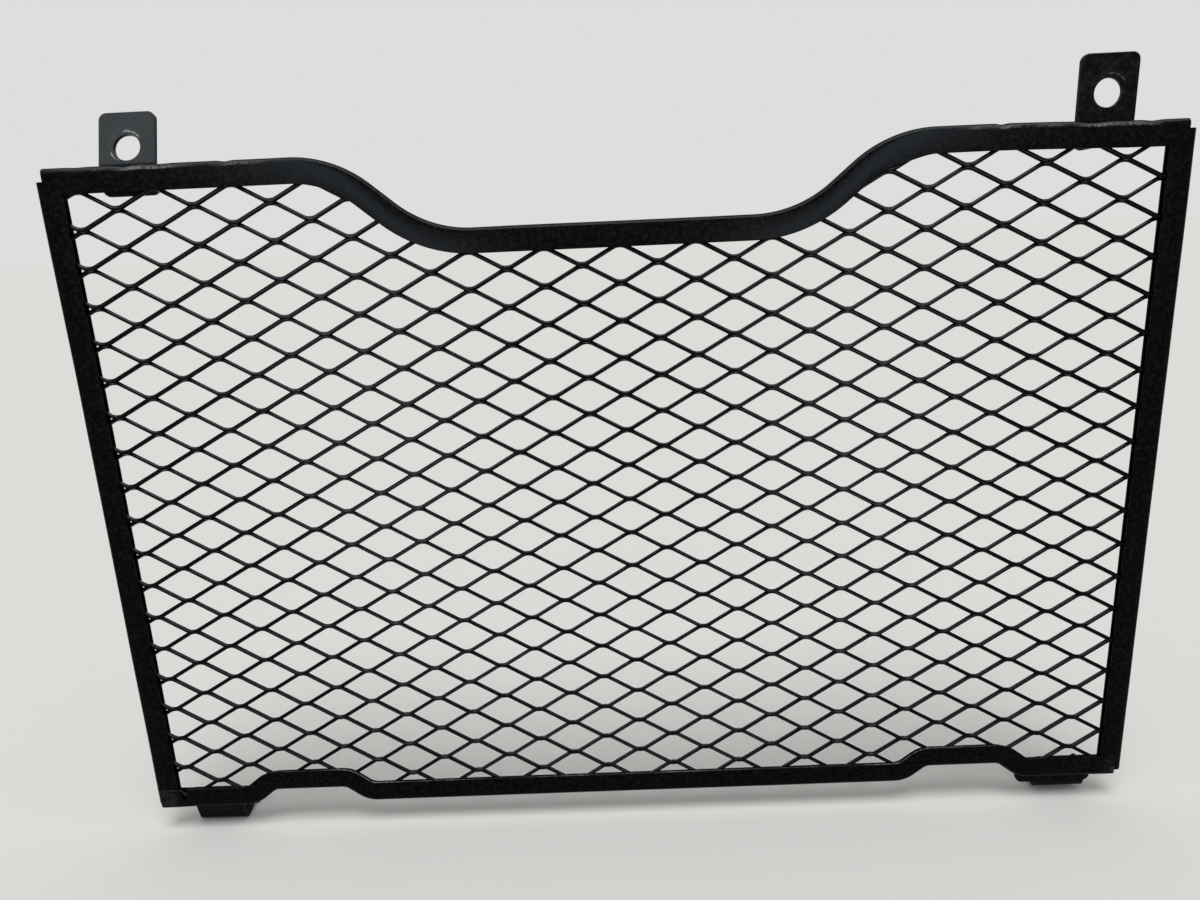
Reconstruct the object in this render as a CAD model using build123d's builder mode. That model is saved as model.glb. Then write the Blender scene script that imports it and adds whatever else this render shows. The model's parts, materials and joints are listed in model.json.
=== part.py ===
"""Motorcycle radiator guard: expanded mesh in a folded sheet frame, with two drilled tabs and two hooks.

Millimetres, +Z up, the front faces -Y. The pieces are modelled about the centre line, with the rails' rear
faces in y = 0, and then moved: the finished guard's origin is the middle of the upper right tab's hole.
"""

import os
from math import cos, hypot, radians, sin, tan

from build123d import *

# Frame
frame_width = 296.4
frame_height = 189.6

# Folded rails: sheet bent to a U, with the mesh and the side rails clamped inside
sheet = 0.8
rail_front = 6.7  # height of the front flange, over the fold
rail_back = 5.4  # height of the back flange, over the fold
rail_gap = 1.4  # inside the fold, between the flanges
end_inset = 2.4  # the top and bottom rails stop this far inside the frame's width
fold_bevel = 0.9  # flat along each side of the fold
end_corner = 2.2  # radius of the top rail's flange corners at its ends
step_length = 1.6  # slope where a rail opens over the side rail
step_clearance = 0.3
side_gap_top = 3.4  # from the top edge down to the side rails' ends
side_gap_bottom = 2.0

# Dip of the top rail
dip_depth = 19.4
dip_middle = 59.4  # half width of the dip at half its depth
dip_slope = 40.0  # degrees
dip_shoulder_radius = 25.5  # inside of the bend, on the lip
dip_floor_radius = 30.5  # inside of the bend, on the fold

# Humps of the bottom rail
hump_offset = 100.0  # from the centre line to a hump's middle
hump_middle = 14.0  # half width of a hump at half its height
hump_height = 5.0
hump_slope = 38.0  # degrees
hump_radius = 3.0  # inside of each bend

# Expanded mesh: diamond openings between strands that lean down towards the back
mesh_long = 20.0  # from bond to bond along the rows
mesh_short = 10.0  # from bond to bond up the panel
mesh_strand = 0.65  # width of a strand on the panel's face
mesh_lean = 0.7  # drop of a strand for each millimetre of depth
mesh_turn = 0.22  # degrees that the rows are out of line with the frame
mesh_phase_x = 1.7  # a middle opening's centre, from the centre line
mesh_phase_z = 109.2  # the same opening's height above the bottom edge
mesh_inset = 2.0  # from the frame's outer edges to the cut edge of the mesh
mesh_least_show = 1.0  # an opening that shows by less than this beside a rail isn't cut

# Upper tabs: the same drilled plate twice, the left one bent back above the rail
tab_width = 14.7
tab_reach = 7.7  # lower end of the plate, below the top edge of the frame
tab_sheet = 1.2
tab_corner = 2.0
tab_hole = 7.0
tab_hole_drop = 9.4  # from the plate's top edge to the hole
left_tab_x = -125.0
right_tab_x = 126.2
left_tab_rise = 14.2  # along the plate, above the top edge of the frame
right_tab_rise = 15.6
left_tab_lean = 18.0  # degrees
left_tab_bend = 3.0  # radius on the inside of the bend
right_tab_cut = 8.0  # degrees that the plate's lower end is out of square

# Lower hooks: a strip behind the bottom rail, with a crossbar, that turns back under the radiator
left_hook_x = -130.6  # middle of the strip
right_hook_x = 131.4
hook_sheet = 1.2
hook_strip = 14.6  # width
hook_top = 4.7  # upper end of the strip, above the bottom edge of the frame
hook_bar_width = 22.5
hook_bar_height = 3.2
hook_bar_offset = 2.35  # from the strip's middle to the crossbar's, towards the centre line
hook_corner = 2.0  # radius of the crossbar's lower corners
hook_lean = 15.0  # degrees that the strip leans back below the crossbar
hook_reach = 11.0  # length of the turned end
hook_bend = 1.4  # inside radius of the bends
left_hook_drop = 8.4  # corner of the bend, below the bottom edge of the frame
right_hook_drop = 6.8
left_bar_drop = 1.2  # lower edge of the crossbar, below the bottom edge of the frame
right_bar_drop = 3.4

# Worked out from the sizes above
rail_depth = rail_gap + 2 * sheet
end_depth = rail_depth + 2 * sheet
bottom = 0.0  # lower edge of the frame
top = bottom + frame_height
half_width = frame_width / 2
rail_end = half_width - end_inset
step_start = half_width - rail_front - step_clearance - step_length
step_stop = step_start + step_length
dip_run = dip_depth / 2 / tan(radians(dip_slope))
hump_run = hump_height / 2 / tan(radians(hump_slope))
right_hole = Location((right_tab_x, tab_sheet / 2, top + right_tab_rise - tab_hole_drop))


def top_edge(depth):
    """The line that runs this far below the top rail's fold, from left to right."""
    shift = depth * tan(radians(dip_slope / 2))
    outer = dip_middle + dip_run + shift
    inner = dip_middle - dip_run + shift
    high = top - depth
    low = high - dip_depth
    shoulder = dip_shoulder_radius + rail_front - depth
    floor = dip_floor_radius + depth
    points = [(-rail_end, high), (-outer, high), (-inner, low)]
    points += [(-x, z) for x, z in reversed(points)]
    return FilletPolyline(*points, radius=[shoulder, floor, floor, shoulder])


def bottom_edge(depth):
    """The line that runs this far above the bottom rail's fold, from left to right."""
    shift = depth * tan(radians(hump_slope / 2))
    foot = hump_middle + hump_run + shift
    crest = hump_middle - hump_run + shift
    low = bottom + depth
    high = low + hump_height
    foot_radius = hump_radius + rail_front - depth
    crest_radius = hump_radius + depth
    points = [(-rail_end, low)]
    points += [(-hump_offset - foot, low), (-hump_offset - crest, high)]
    points += [(-hump_offset + crest, high), (-hump_offset + foot, low)]
    points += [(-x, z) for x, z in reversed(points)]
    hump_radii = [foot_radius, crest_radius, crest_radius, foot_radius]
    return FilletPolyline(*points, radius=hump_radii * 2)


def strip(edge, near, far, corner=0):
    """The face between two lines of a rail, on its middle plane; the far line's ends may be rounded."""
    with BuildSketch(Plane.XZ.offset(rail_depth / 2)) as face:
        with BuildLine():
            first = edge(near)
            second = edge(far)
            Line(first @ 0, second @ 0)
            Line(first @ 1, second @ 1)
        make_face()
        if corner:
            fillet([face.vertices().sort_by_distance(second @ end)[0] for end in (0, 1)], radius=corner)
    return face.sketch


def plan(middle, end):
    """A rail's depth seen from above: the first value along the middle, the second at the opened ends."""
    centre = -rail_depth / 2
    corner = [(step_start, middle / 2), (step_stop, end / 2), (rail_end, end / 2)]
    back = [(-x, centre + y) for x, y in reversed(corner)] + [(x, centre + y) for x, y in corner]
    front = [(x, 2 * centre - y) for x, y in reversed(back)]
    with BuildSketch(Plane.XY.offset(bottom)) as outline:
        Polygon(*back, *front, align=None)
    return outline.sketch


def fold_edges(rail, edge):
    """The two long edges of a rail's fold, front and back."""
    with BuildLine(Plane.XZ, mode=Mode.PRIVATE) as fold:
        edge(0)
    found = []
    for side in rail.edges():
        middle = side.position_at(0.5)
        across = abs(side.tangent_at(0.5).Y) > 0.9
        if not across and fold.line.distance_to(Vector(middle.X, 0, middle.Z)) < sheet / 10:
            found.append(side)
    return found


def crossed_rail(edge, corner, label):
    """A top or bottom rail: a folded strip whose ends open over the side rails."""
    reach = frame_height + end_depth
    with BuildPart() as slot:
        extrude(strip(edge, sheet, rail_front), amount=end_depth, both=True)
        extrude(plan(rail_gap, rail_depth), amount=reach, both=True, mode=Mode.INTERSECT)
    with BuildPart() as rail:
        extrude(strip(edge, 0, rail_front, corner), amount=end_depth)
        extrude(strip(edge, 0, rail_back, corner), amount=-end_depth)
        extrude(plan(rail_depth, end_depth), amount=reach, both=True, mode=Mode.INTERSECT)
        chamfer(fold_edges(rail, edge), length=fold_bevel)
        add(slot.part, mode=Mode.SUBTRACT)
    rail.part.label = label
    return rail.part


def side_rail(side, label):
    """A straight folded rail; side is -1 for the left and 1 for the right."""
    low = bottom + side_gap_bottom
    with BuildPart() as rail:
        with BuildSketch(Plane.XY.offset(low)):
            with BuildLine():
                Polyline(
                    (side * (half_width - rail_front), -rail_depth),
                    (side * (half_width - fold_bevel), -rail_depth),
                    (side * half_width, fold_bevel - rail_depth),
                    (side * half_width, -fold_bevel),
                    (side * (half_width - fold_bevel), 0),
                    (side * (half_width - rail_back), 0),
                    (side * (half_width - rail_back), -sheet),
                    (side * (half_width - sheet), -sheet),
                    (side * (half_width - sheet), -rail_depth + sheet),
                    (side * (half_width - rail_front), -rail_depth + sheet),
                    close=True,
                )
            make_face()
        extrude(amount=frame_height - side_gap_top - side_gap_bottom)
    rail.part.label = label
    return rail.part


def opening_shows(x, z, half_long, half_short):
    """Whether any of the mesh opening at this place is clear of the rails."""
    ramp = (dip_middle + dip_run - abs(x)) / (2 * dip_run)
    crest = (hump_middle + hump_run - abs(abs(x) - hump_offset)) / (2 * hump_run)
    cover = rail_front + mesh_least_show
    clear_top = top - cover - dip_depth * min(max(ramp, 0), 1)
    clear_bottom = bottom + cover + hump_height * min(max(crest, 0), 1)
    return (
        abs(x) - half_long < half_width - cover
        and z + half_short > clear_bottom
        and z - half_short < clear_top
    )


def opening_centres(half_long, half_short):
    """The middles of the diamond openings, in rows that are turned a little from the frame."""
    turn = radians(mesh_turn)
    columns = int(frame_width / mesh_long) + 2
    rows = int(frame_height / mesh_short) + 2
    centres = []
    for row in range(-2 * rows, 2 * rows + 1):
        for column in range(-2 * columns, 2 * columns + 1):
            if (row + column) % 2:
                continue
            along = column * mesh_long / 2
            up = row * mesh_short / 2
            x = mesh_phase_x + along * cos(turn) - up * sin(turn)
            z = bottom + mesh_phase_z + along * sin(turn) + up * cos(turn)
            if opening_shows(x, z, half_long, half_short):
                centres.append((x, z))
    return centres


def mesh_panel():
    """The expanded mesh: a lattice of strands that lean down from the panel's front to its back."""
    diagonal = hypot(mesh_long, mesh_short)
    half_long = mesh_long / 2 - mesh_strand * diagonal / mesh_short / 2
    half_short = mesh_short / 2 - mesh_strand * diagonal / mesh_long / 2
    drop = mesh_lean * rail_gap
    diamond = [(half_long, 0), (0, half_short), (-half_long, 0), (0, -half_short)]
    face = Plane((0, sheet - rail_depth, drop / 2), x_dir=(1, 0, 0), z_dir=(0, -1, 0))
    with BuildSketch(face) as field:
        with BuildLine():
            first = top_edge(mesh_inset)
            second = bottom_edge(mesh_inset)
            Line(first @ 0, second @ 0)
            Line(first @ 1, second @ 1)
        make_face()
        with Locations(*opening_centres(half_long, half_short)):
            Polygon(*diamond, rotation=mesh_turn, mode=Mode.SUBTRACT)
    with BuildPart() as panel:
        whole = field.sketch.faces().sort_by(SortBy.AREA)[-1]
        extrude(whole, amount=hypot(rail_gap, drop), dir=(0, rail_gap, -drop), clean=False)
    panel.part.label = "mesh_panel"
    return panel.part


def straight_tab(x, rise, cut, label):
    """A drilled plate that stands flat behind the top rail, its lower end cut out of square."""
    left = x - tab_width / 2
    right = x + tab_width / 2
    low = top - tab_reach
    cut_low = low + tab_width * tan(radians(cut))
    high = top + rise
    with BuildPart() as tab:
        with BuildSketch(Plane.XZ) as plate:
            Polygon((left, low), (right, cut_low), (right, high), (left, high), align=None)
            fillet(plate.vertices(), radius=tab_corner)
            with Locations((x, high - tab_hole_drop)):
                Circle(tab_hole / 2, mode=Mode.SUBTRACT)
        extrude(amount=-tab_sheet)
    tab.part.label = label
    return tab.part


def bent_tab(x, rise, lean, label):
    """The same plate, bent back by some degrees where it leaves the top rail."""
    tilt = Plane((x, 0, top), x_dir=(1, 0, 0), z_dir=(0, -cos(radians(lean)), sin(radians(lean))))
    with BuildPart() as tab:
        with BuildSketch(Plane.YZ.offset(x)):
            with BuildLine():
                FilletPolyline(
                    (0, top - tab_reach),
                    (0, top),
                    (rise * sin(radians(lean)), top + rise * cos(radians(lean))),
                    radius=left_tab_bend + tab_sheet,
                )
                offset(amount=tab_sheet, side=Side.RIGHT)
            make_face()
        extrude(amount=tab_width / 2, both=True)
        for place in (0, -1):
            end = tab.faces().sort_by(Axis.Z)[place]
            fillet(end.edges().group_by(SortBy.LENGTH)[0], radius=tab_corner)
        with BuildSketch(tilt):
            with Locations((0, rise - tab_hole_drop)):
                Circle(tab_hole / 2)
        extrude(amount=2 * tab_sheet, both=True, mode=Mode.SUBTRACT)
    tab.part.label = label
    return tab.part


def hook(x, drop, bar_drop, label):
    """A bracket behind the bottom rail: a strip with a crossbar, bent back and then under the radiator."""
    low = bottom - drop
    bar_low = bottom - bar_drop
    bar_x = x - hook_bar_offset * x / abs(x)
    lean = radians(hook_lean)
    outer_bend = hook_bend + hook_sheet
    bend_low = bar_low - outer_bend * tan(lean / 2)
    back = (bend_low - low) * tan(lean)
    with BuildPart() as bracket:
        with BuildSketch(Plane.YZ.offset(x)):
            with BuildLine():
                FilletPolyline(
                    (0, bottom + hook_top),
                    (0, bend_low),
                    (back, low),
                    (back + hook_reach * cos(lean), low + hook_reach * sin(lean)),
                    radius=outer_bend,
                )
                offset(amount=hook_sheet, side=Side.LEFT)
            make_face()
        extrude(amount=hook_strip / 2, both=True)
        with BuildSketch(Plane.XZ) as bar:
            with Locations((bar_x, bar_low + hook_bar_height / 2)):
                Rectangle(hook_bar_width, hook_bar_height)
            fillet(bar.vertices().group_by(Axis.Y)[0], radius=hook_corner)
        extrude(amount=-hook_sheet)
    bracket.part.label = label
    return bracket.part


os.makedirs("parts", exist_ok=True)
pieces = [
    crossed_rail(top_edge, end_corner, "top_rail"),
    crossed_rail(bottom_edge, 0, "bottom_rail"),
    side_rail(-1, "left_rail"),
    side_rail(1, "right_rail"),
    mesh_panel(),
    bent_tab(left_tab_x, left_tab_rise, left_tab_lean, "upper_left_tab"),
    straight_tab(right_tab_x, right_tab_rise, right_tab_cut, "upper_right_tab"),
    hook(left_hook_x, left_hook_drop, left_bar_drop, "lower_left_hook"),
    hook(right_hook_x, right_hook_drop, right_bar_drop, "lower_right_hook"),
]
for piece in pieces:
    piece.move(right_hole.inverse())
    export_step(piece, f"parts/{piece.label}.step")
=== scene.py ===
"""Motorcycle radiator guard: the painted look of its mesh, folded rails, tabs and hooks."""

import json
import math
from collections import namedtuple

import bmesh
import bpy
from mathutils import Matrix, Vector, noise


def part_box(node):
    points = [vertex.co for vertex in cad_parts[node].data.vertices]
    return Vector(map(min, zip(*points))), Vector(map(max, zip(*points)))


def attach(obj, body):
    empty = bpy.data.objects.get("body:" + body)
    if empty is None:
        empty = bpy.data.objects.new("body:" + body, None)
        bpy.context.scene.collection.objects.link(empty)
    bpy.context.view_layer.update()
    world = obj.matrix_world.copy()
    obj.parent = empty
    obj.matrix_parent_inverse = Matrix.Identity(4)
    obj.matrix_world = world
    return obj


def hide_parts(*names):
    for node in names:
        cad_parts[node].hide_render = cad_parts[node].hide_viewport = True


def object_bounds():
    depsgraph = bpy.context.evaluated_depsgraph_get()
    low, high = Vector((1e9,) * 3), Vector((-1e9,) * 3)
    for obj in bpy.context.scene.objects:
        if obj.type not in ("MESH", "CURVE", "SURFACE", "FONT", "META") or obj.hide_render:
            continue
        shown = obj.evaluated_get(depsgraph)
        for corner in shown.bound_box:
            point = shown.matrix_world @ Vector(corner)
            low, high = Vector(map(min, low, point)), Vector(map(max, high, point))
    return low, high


bl_info = {
    "name": "Radiator Guard",
    "version": (1, 0, 0),
    "blender": (4, 5, 0),
    "location": "View3D > Sidebar > Guard",
    "description": "Expanded mesh, folded rails, drilled tabs and hooks of a motorcycle radiator guard",
    "category": "Object",
}

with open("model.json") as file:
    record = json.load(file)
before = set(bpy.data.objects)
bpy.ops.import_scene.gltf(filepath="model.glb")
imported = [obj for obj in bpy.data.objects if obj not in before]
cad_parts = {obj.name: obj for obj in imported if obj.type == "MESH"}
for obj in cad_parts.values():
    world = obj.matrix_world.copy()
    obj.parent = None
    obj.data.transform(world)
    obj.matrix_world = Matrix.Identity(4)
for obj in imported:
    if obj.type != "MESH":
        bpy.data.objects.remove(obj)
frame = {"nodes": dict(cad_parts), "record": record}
cad_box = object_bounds()

MM = 0.001
ROOT = "root"

# Places that the frame gives
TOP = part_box("top_rail")[1].z
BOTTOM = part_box("bottom_rail")[0].z
CENTRE = (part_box("left_rail")[0].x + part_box("right_rail")[1].x) / 2
RAIL_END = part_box("top_rail")[1].x - CENTRE
HALF_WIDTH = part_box("right_rail")[1].x - CENTRE
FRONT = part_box("right_rail")[0].y
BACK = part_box("right_rail")[1].y
FLOOR = cad_box[0][2]
HOLES = {mount["name"]: mount for mount in frame["record"]["mounts"] if mount["kind"] == "bore"}

# How finely the pieces are made
FLANGE_STEPS = 6  # across a rail's front flange
BEND_STEPS = 6  # round each half of its fold
BACK_STEPS = 4  # across its back flange
LEAST_BEND_STEPS = 3  # round a bend of the line that a rail follows
STRAND_STATIONS = 8  # along a strand, from bond to bond
STRAND_SIDES = 8  # round a strand
SPARE_ROWS = 8  # of mesh past the panel's edges, to be trimmed off
SPARE_COLUMNS = 3
STRAND_WELD = 0.01 * MM  # points of the mesh that are nearer than this become one
PLATE_WELD = 0.001 * MM  # the same of a plate
PLATE_FLAT = math.radians(0.5)  # faces of a plate that turn by less than this become one
PLATE_CORNER = math.radians(40)  # edges of a plate that turn by more than this are rounded
SHARP_STRAND = math.radians(60)  # edges that turn by more than this look sharp
SHARP_FOLD = math.radians(35)

# A stretch of a rail: its middle from the centre line and its half width, both in millimetres, and how much
# the rail is changed at its middle
Stretch = namedtuple("Stretch", "middle half_width most")
# Knocks in the top rail's fold, by their depth in millimetres
TOP_DENTS = (
    Stretch(-137.5, 3.0, 0.10),
    Stretch(-125.0, 4.0, 0.28),
    Stretch(-116.0, 5.0, 0.12),
    Stretch(-98.8, 2.2, 0.28),
    Stretch(99.1, 2.0, 0.30),
    Stretch(122.0, 5.0, 0.35),
    Stretch(137.0, 3.0, 0.25),
)
# Where the top rail's front flange was left longer, in millimetres
FLANGE_LUMPS = (Stretch(74.0, 10.0, 0.6),)
# A blob of weld that stands up on the bottom rail's lip, and the slit beside its left end
LIP_LUMPS = (Stretch(133.3, 1.8, 1.2), Stretch(-139.4, 1.25, -4.4))
# Points of a rail's section, numbered from the lip of its front flange to the ridge where its fold begins
LIP_POINT = 0
RIDGE_POINT = FLANGE_STEPS + 2
# Where a rail is painted paler, as a painted highlight on the top rail's ridge and the bottom rail's lip and
# as
# paler end pads: how pale the points of its section are, and the share of that along stretches of the rail
HighlightAndPale = namedtuple("HighlightAndPale", "points stretches")
# A painted highlight along the ridge of the top rail's fold, in broken stretches
RIDGE_HIGHLIGHT = HighlightAndPale(
    {RIDGE_POINT: 1.0, RIDGE_POINT + 1: 0.7},
    (
        Stretch(-122.0, 20.0, 0.8),
        Stretch(-92.0, 14.0, 0.5),
        Stretch(102.0, 16.0, 0.9),
        Stretch(128.0, 14.0, 1.0),
    ),
)
# A painted highlight along the lip of the bottom rail's front flange
LIP_HIGHLIGHT = HighlightAndPale(
    {LIP_POINT: 1.0},
    (Stretch(-75.0, 40.0, 1.0), Stretch(0.0, 60.0, 0.6), Stretch(80.0, 45.0, 0.8)),
)
# The bottom rail's end pads, painted a little paler across their front flange
PALER_PADS = HighlightAndPale(
    dict.fromkeys(range(RIDGE_POINT), 0.2),
    (Stretch(-146.0, 6.0, 0.6), Stretch(146.0, 6.0, 1.0)),
)
HIGHLIGHT_AND_PALE_MARK = "lightened"  # the attribute that carries this to the paint
# Unevenness of the rails: waves in a metre, and where each rail's own wave is taken from
WAVES = 45
WAVE_SEEDS = {"top_rail": 1.3, "bottom_rail": 4.7, "left_rail": 8.1, "right_rail": 12.9}

# How the paint lies on a piece: its share of haze and of flecks, its mean roughness and its gloss
Coat = namedtuple("Coat", "haze fleck rough shine")
MESH_COAT = Coat(haze=0.2, fleck=0.1, rough=0.16, shine=0.06)
FRAME_COAT = Coat(haze=0.55, fleck=0.15, rough=0.24, shine=0.03)
TAB_COAT = Coat(haze=1.0, fleck=0.15, rough=0.2, shine=0.06)
HOOK_COAT = Coat(haze=0.6, fleck=0.15, rough=0.3, shine=0.04)

# What a bolt's head has worn round a hole, with a painted highlight on its rim: the shift from the hole's
# middle in millimetres, and how much
BoltMark = namedtuple("BoltMark", "hole shift wear")
BOLT_MARKS = {
    "upper_left_tab": BoltMark(HOLES["upper_left_hole"], (-0.2, 0, 0.2), 0.8),
    "upper_right_tab": BoltMark(HOLES["upper_right_hole"], (0.35, 0, 0.4), 0.2),
}
# Parts of that ring, in degrees from the right: where bare steel and a painted highlight of the rim show,
# and where the paint is scored
Arc = namedtuple("Arc", "middle half")
GLINT_AND_BARE_ARCS = (Arc(66, 40), Arc(-140, 26))
SCORED_ARC = Arc(125, 95)
ARC_CORE = 0.6  # share of an arc's half that is not faded

# Panels that show only as gloss on the paint: the middle of each, in millimetres to the right of the centre
# line, in front of the guard and above its bottom edge, its size, its turns in degrees and its brightness
LitPanel = namedtuple("LitPanel", "place width length turns glow")
LIT_PANELS = {
    "left_panel": LitPanel((-262, 500, 490), 110, 960, (90, -11), 11),
    "right_panel": LitPanel((262, 500, 490), 110, 960, (90, 11), 11),
    "tab_panel": LitPanel((-490, 500, 700), 130, 350, (90, 0), 14),
    "top_panel": LitPanel((0, 110, 790), 1100, 430, (0, 0), 11),
}
# The camera: millimetres from the middle of the bottom edge's back, and the ways ahead and up
CAMERA_PLACE = Vector((-2.5, -229.8, 166.6))
CAMERA_AHEAD = Vector((-0.01517, 0.96927, -0.24552))
CAMERA_UP = Vector((0.04215, 0.24595, 0.96838))
SENSOR_WIDTH = 36  # millimetres
NEAREST_SEEN = 10 * MM


def length(name, description, default):
    """A length property in metres."""
    return bpy.props.FloatProperty(
        name=name, description=description, default=default, unit="LENGTH", precision=5
    )


def angle(name, description, degrees):
    """An angle property."""
    return bpy.props.FloatProperty(
        name=name, description=description, default=math.radians(degrees), subtype="ANGLE", unit="ROTATION"
    )


def amount(name, description, default):
    """A plain number property."""
    return bpy.props.FloatProperty(name=name, description=description, default=default, precision=4)


def colour(name, description, default):
    """A linear colour property."""
    return bpy.props.FloatVectorProperty(
        name=name, description=description, default=default, size=3, subtype="COLOR", min=0, max=1
    )


class GuardMeshSizes(bpy.types.PropertyGroup):
    """Sizes of the expanded mesh."""

    long_pitch: length("Long pitch", "From bond to bond along a row", 20 * MM)
    short_pitch: length("Short pitch", "From bond to bond up the panel", 10 * MM)
    bond: length("Bond length", "Length over which two strands stay joined", 0.5 * MM)
    rounding: amount("Rounding", "Share of a strand that bends beside each bond", 0.13)
    strand: length("Strand width", "Width of a strand, across the sheet", 1.09 * MM)
    sheet: length("Sheet", "Thickness of the sheet that was expanded", 1.2 * MM)
    edge: length("Edge", "Flat on each corner of a strand", 0.2 * MM)
    lean: angle("Lean", "Slope of the strands, down towards the back", 26)
    turn: angle("Turn", "How far the rows are out of line with the frame", 0.22)
    phase_x: length("Phase across", "A middle opening's centre, from the centre line", 1.7 * MM)
    phase_z: length("Phase up", "The same opening's height above the bottom edge", 109.2 * MM)
    inset: length("Inset", "From the frame's outer edges to the cut edge of the mesh", 2.0 * MM)


class GuardRailSizes(bpy.types.PropertyGroup):
    """Sizes of the folded rails."""

    front: length("Front flange", "Height of the front flange, over the fold", 6.7 * MM)
    back: length("Back flange", "Height of the back flange, over the fold", 5.4 * MM)
    side_back: length("Side's back flange", "The same of the two side rails", 6.3 * MM)
    sheet: length("Sheet", "Thickness of the folded sheet", 0.6 * MM)
    fold: length("Fold radius", "Outer radius of the fold", 1.45 * MM)
    lip: length("Lip", "Rounding of the flanges' cut edges", 0.12 * MM)
    swell: length("Swell", "How far the top rail's ends stand proud over the side rails", 0.3 * MM)
    low_swell: length("Low swell", "How far the bottom rail's ends stand proud", 0.25 * MM)
    sag: length("Sag", "How far the top rail's right end hangs", 0.9 * MM)
    sag_start: length("Sag start", "From the centre line to where the sag begins", 92 * MM)
    left_reach: length("Left reach", "How much further the bottom rail goes at its left end", 0.9 * MM)
    step_start: length("Step start", "Where a rail begins to open, from the centre line", 135.0 * MM)
    step: length("Step", "Length of the slope where a rail opens", 8 * MM)
    corner: length("End corner", "Radius of the top rail's corners at its ends", 2.2 * MM)
    dip_middle: length("Dip", "Half width of the dip at half its depth", 59.4 * MM)
    dip_slope: angle("Dip slope", "Steepest slope of the dip", 40)
    shoulder: length("Shoulder radius", "Radius of the fold at the top of the dip", 32.2 * MM)
    floor: length("Floor radius", "Radius of the fold at the bottom of the dip", 30.5 * MM)
    hump_offset: length("Hump place", "From the centre line to a hump's middle", 100 * MM)
    hump_middle: length("Hump", "Half width of a hump at half its height", 14 * MM)
    hump_slope: angle("Hump slope", "Steepest slope of a hump", 38)
    hump_radius: length("Hump radius", "Inside radius of a hump's bends", 3 * MM)
    station: length("Station", "Distance between the cross-sections of a rail", 0.5 * MM)
    wave: length("Wave", "Unevenness of the hand-folded sheet", 0.12 * MM)
    crown: length("Crown", "How far the middle of a front flange bulges", 0.14 * MM)
    push: length("Push", "How far the left rail is knocked in", 0.4 * MM)
    push_run: length("Push run", "From the left rail's top down to where it is knocked in", 60 * MM)


class GuardFinish(bpy.types.PropertyGroup):
    """Colours of the paint, of what shows where it is worn, of its painted highlights and paler pads, and
    sizes of its marks.
    """

    paint: colour("Paint", "Black paint", (0.0012, 0.0012, 0.0015))
    haze: colour("Haze", "Dusty bloom on the paint", (0.0135, 0.0140, 0.0158))
    fleck: colour("Fleck", "Small pale specks and scuffs", (0.055, 0.058, 0.056))
    # Also the colour of the painted highlight on a hole's rim
    steel_and_glint: colour("Steel", "Bare steel where a bolt's head has turned", (0.32, 0.31, 0.29))
    # A painted highlight on the top rail's ridge and the bottom rail's lip, and the paler tone of the bottom
    # rail's end pads
    highlight_and_pale: colour("Highlight And Pale", "Paint rubbed thin along an edge", (0.42, 0.42, 0.40))
    gloss: colour("Gloss", "Tint of the paint's gloss", (0.78, 0.90, 1.0))
    edge: length("Plate edge", "Rounding of the plates' cut edges", 0.18 * MM)
    bolt_head: length("Bolt head", "Radius of the line that a bolt's head has worn", 4.15 * MM)
    bolt_line: length("Worn line", "Half width of that line", 0.32 * MM)
    score_pitch: length("Score pitch", "From one score to the next under a bolt's head", 0.55 * MM)
    score_core: length("Score core", "How far from the line the scores are at their full strength", 0.8 * MM)
    score_reach: length("Score reach", "How far from the line they end", 1.4 * MM)
    bump: amount("Bump", "Strength of the paint's relief", 0.25)
    relief: length("Relief", "Height of the paint's relief", 0.05 * MM)


class GuardStage(bpy.types.PropertyGroup):
    """Floor, light and camera."""

    floor: colour("Floor", "Pale floor", (0.78, 0.78, 0.765))
    floor_reach: length("Floor reach", "From the floor's middle to its sides", 20.0)
    sky: colour("Backdrop", "Tone of the backdrop, as pale as the lit floor", (0.73, 0.73, 0.715))
    key: amount("Key light", "Strength of the wide soft light above the front", 1.55)
    key_rise: angle("Key height", "Height of that light over the horizon", 72)
    key_size: angle("Key size", "Apparent size of that light", 30)
    fill: amount("Fill light", "Strength of the light from all round", 0.62)
    lens: amount("Lens", "Focal length of the camera, in millimetres on a 36 mm frame", 25.4)


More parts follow.
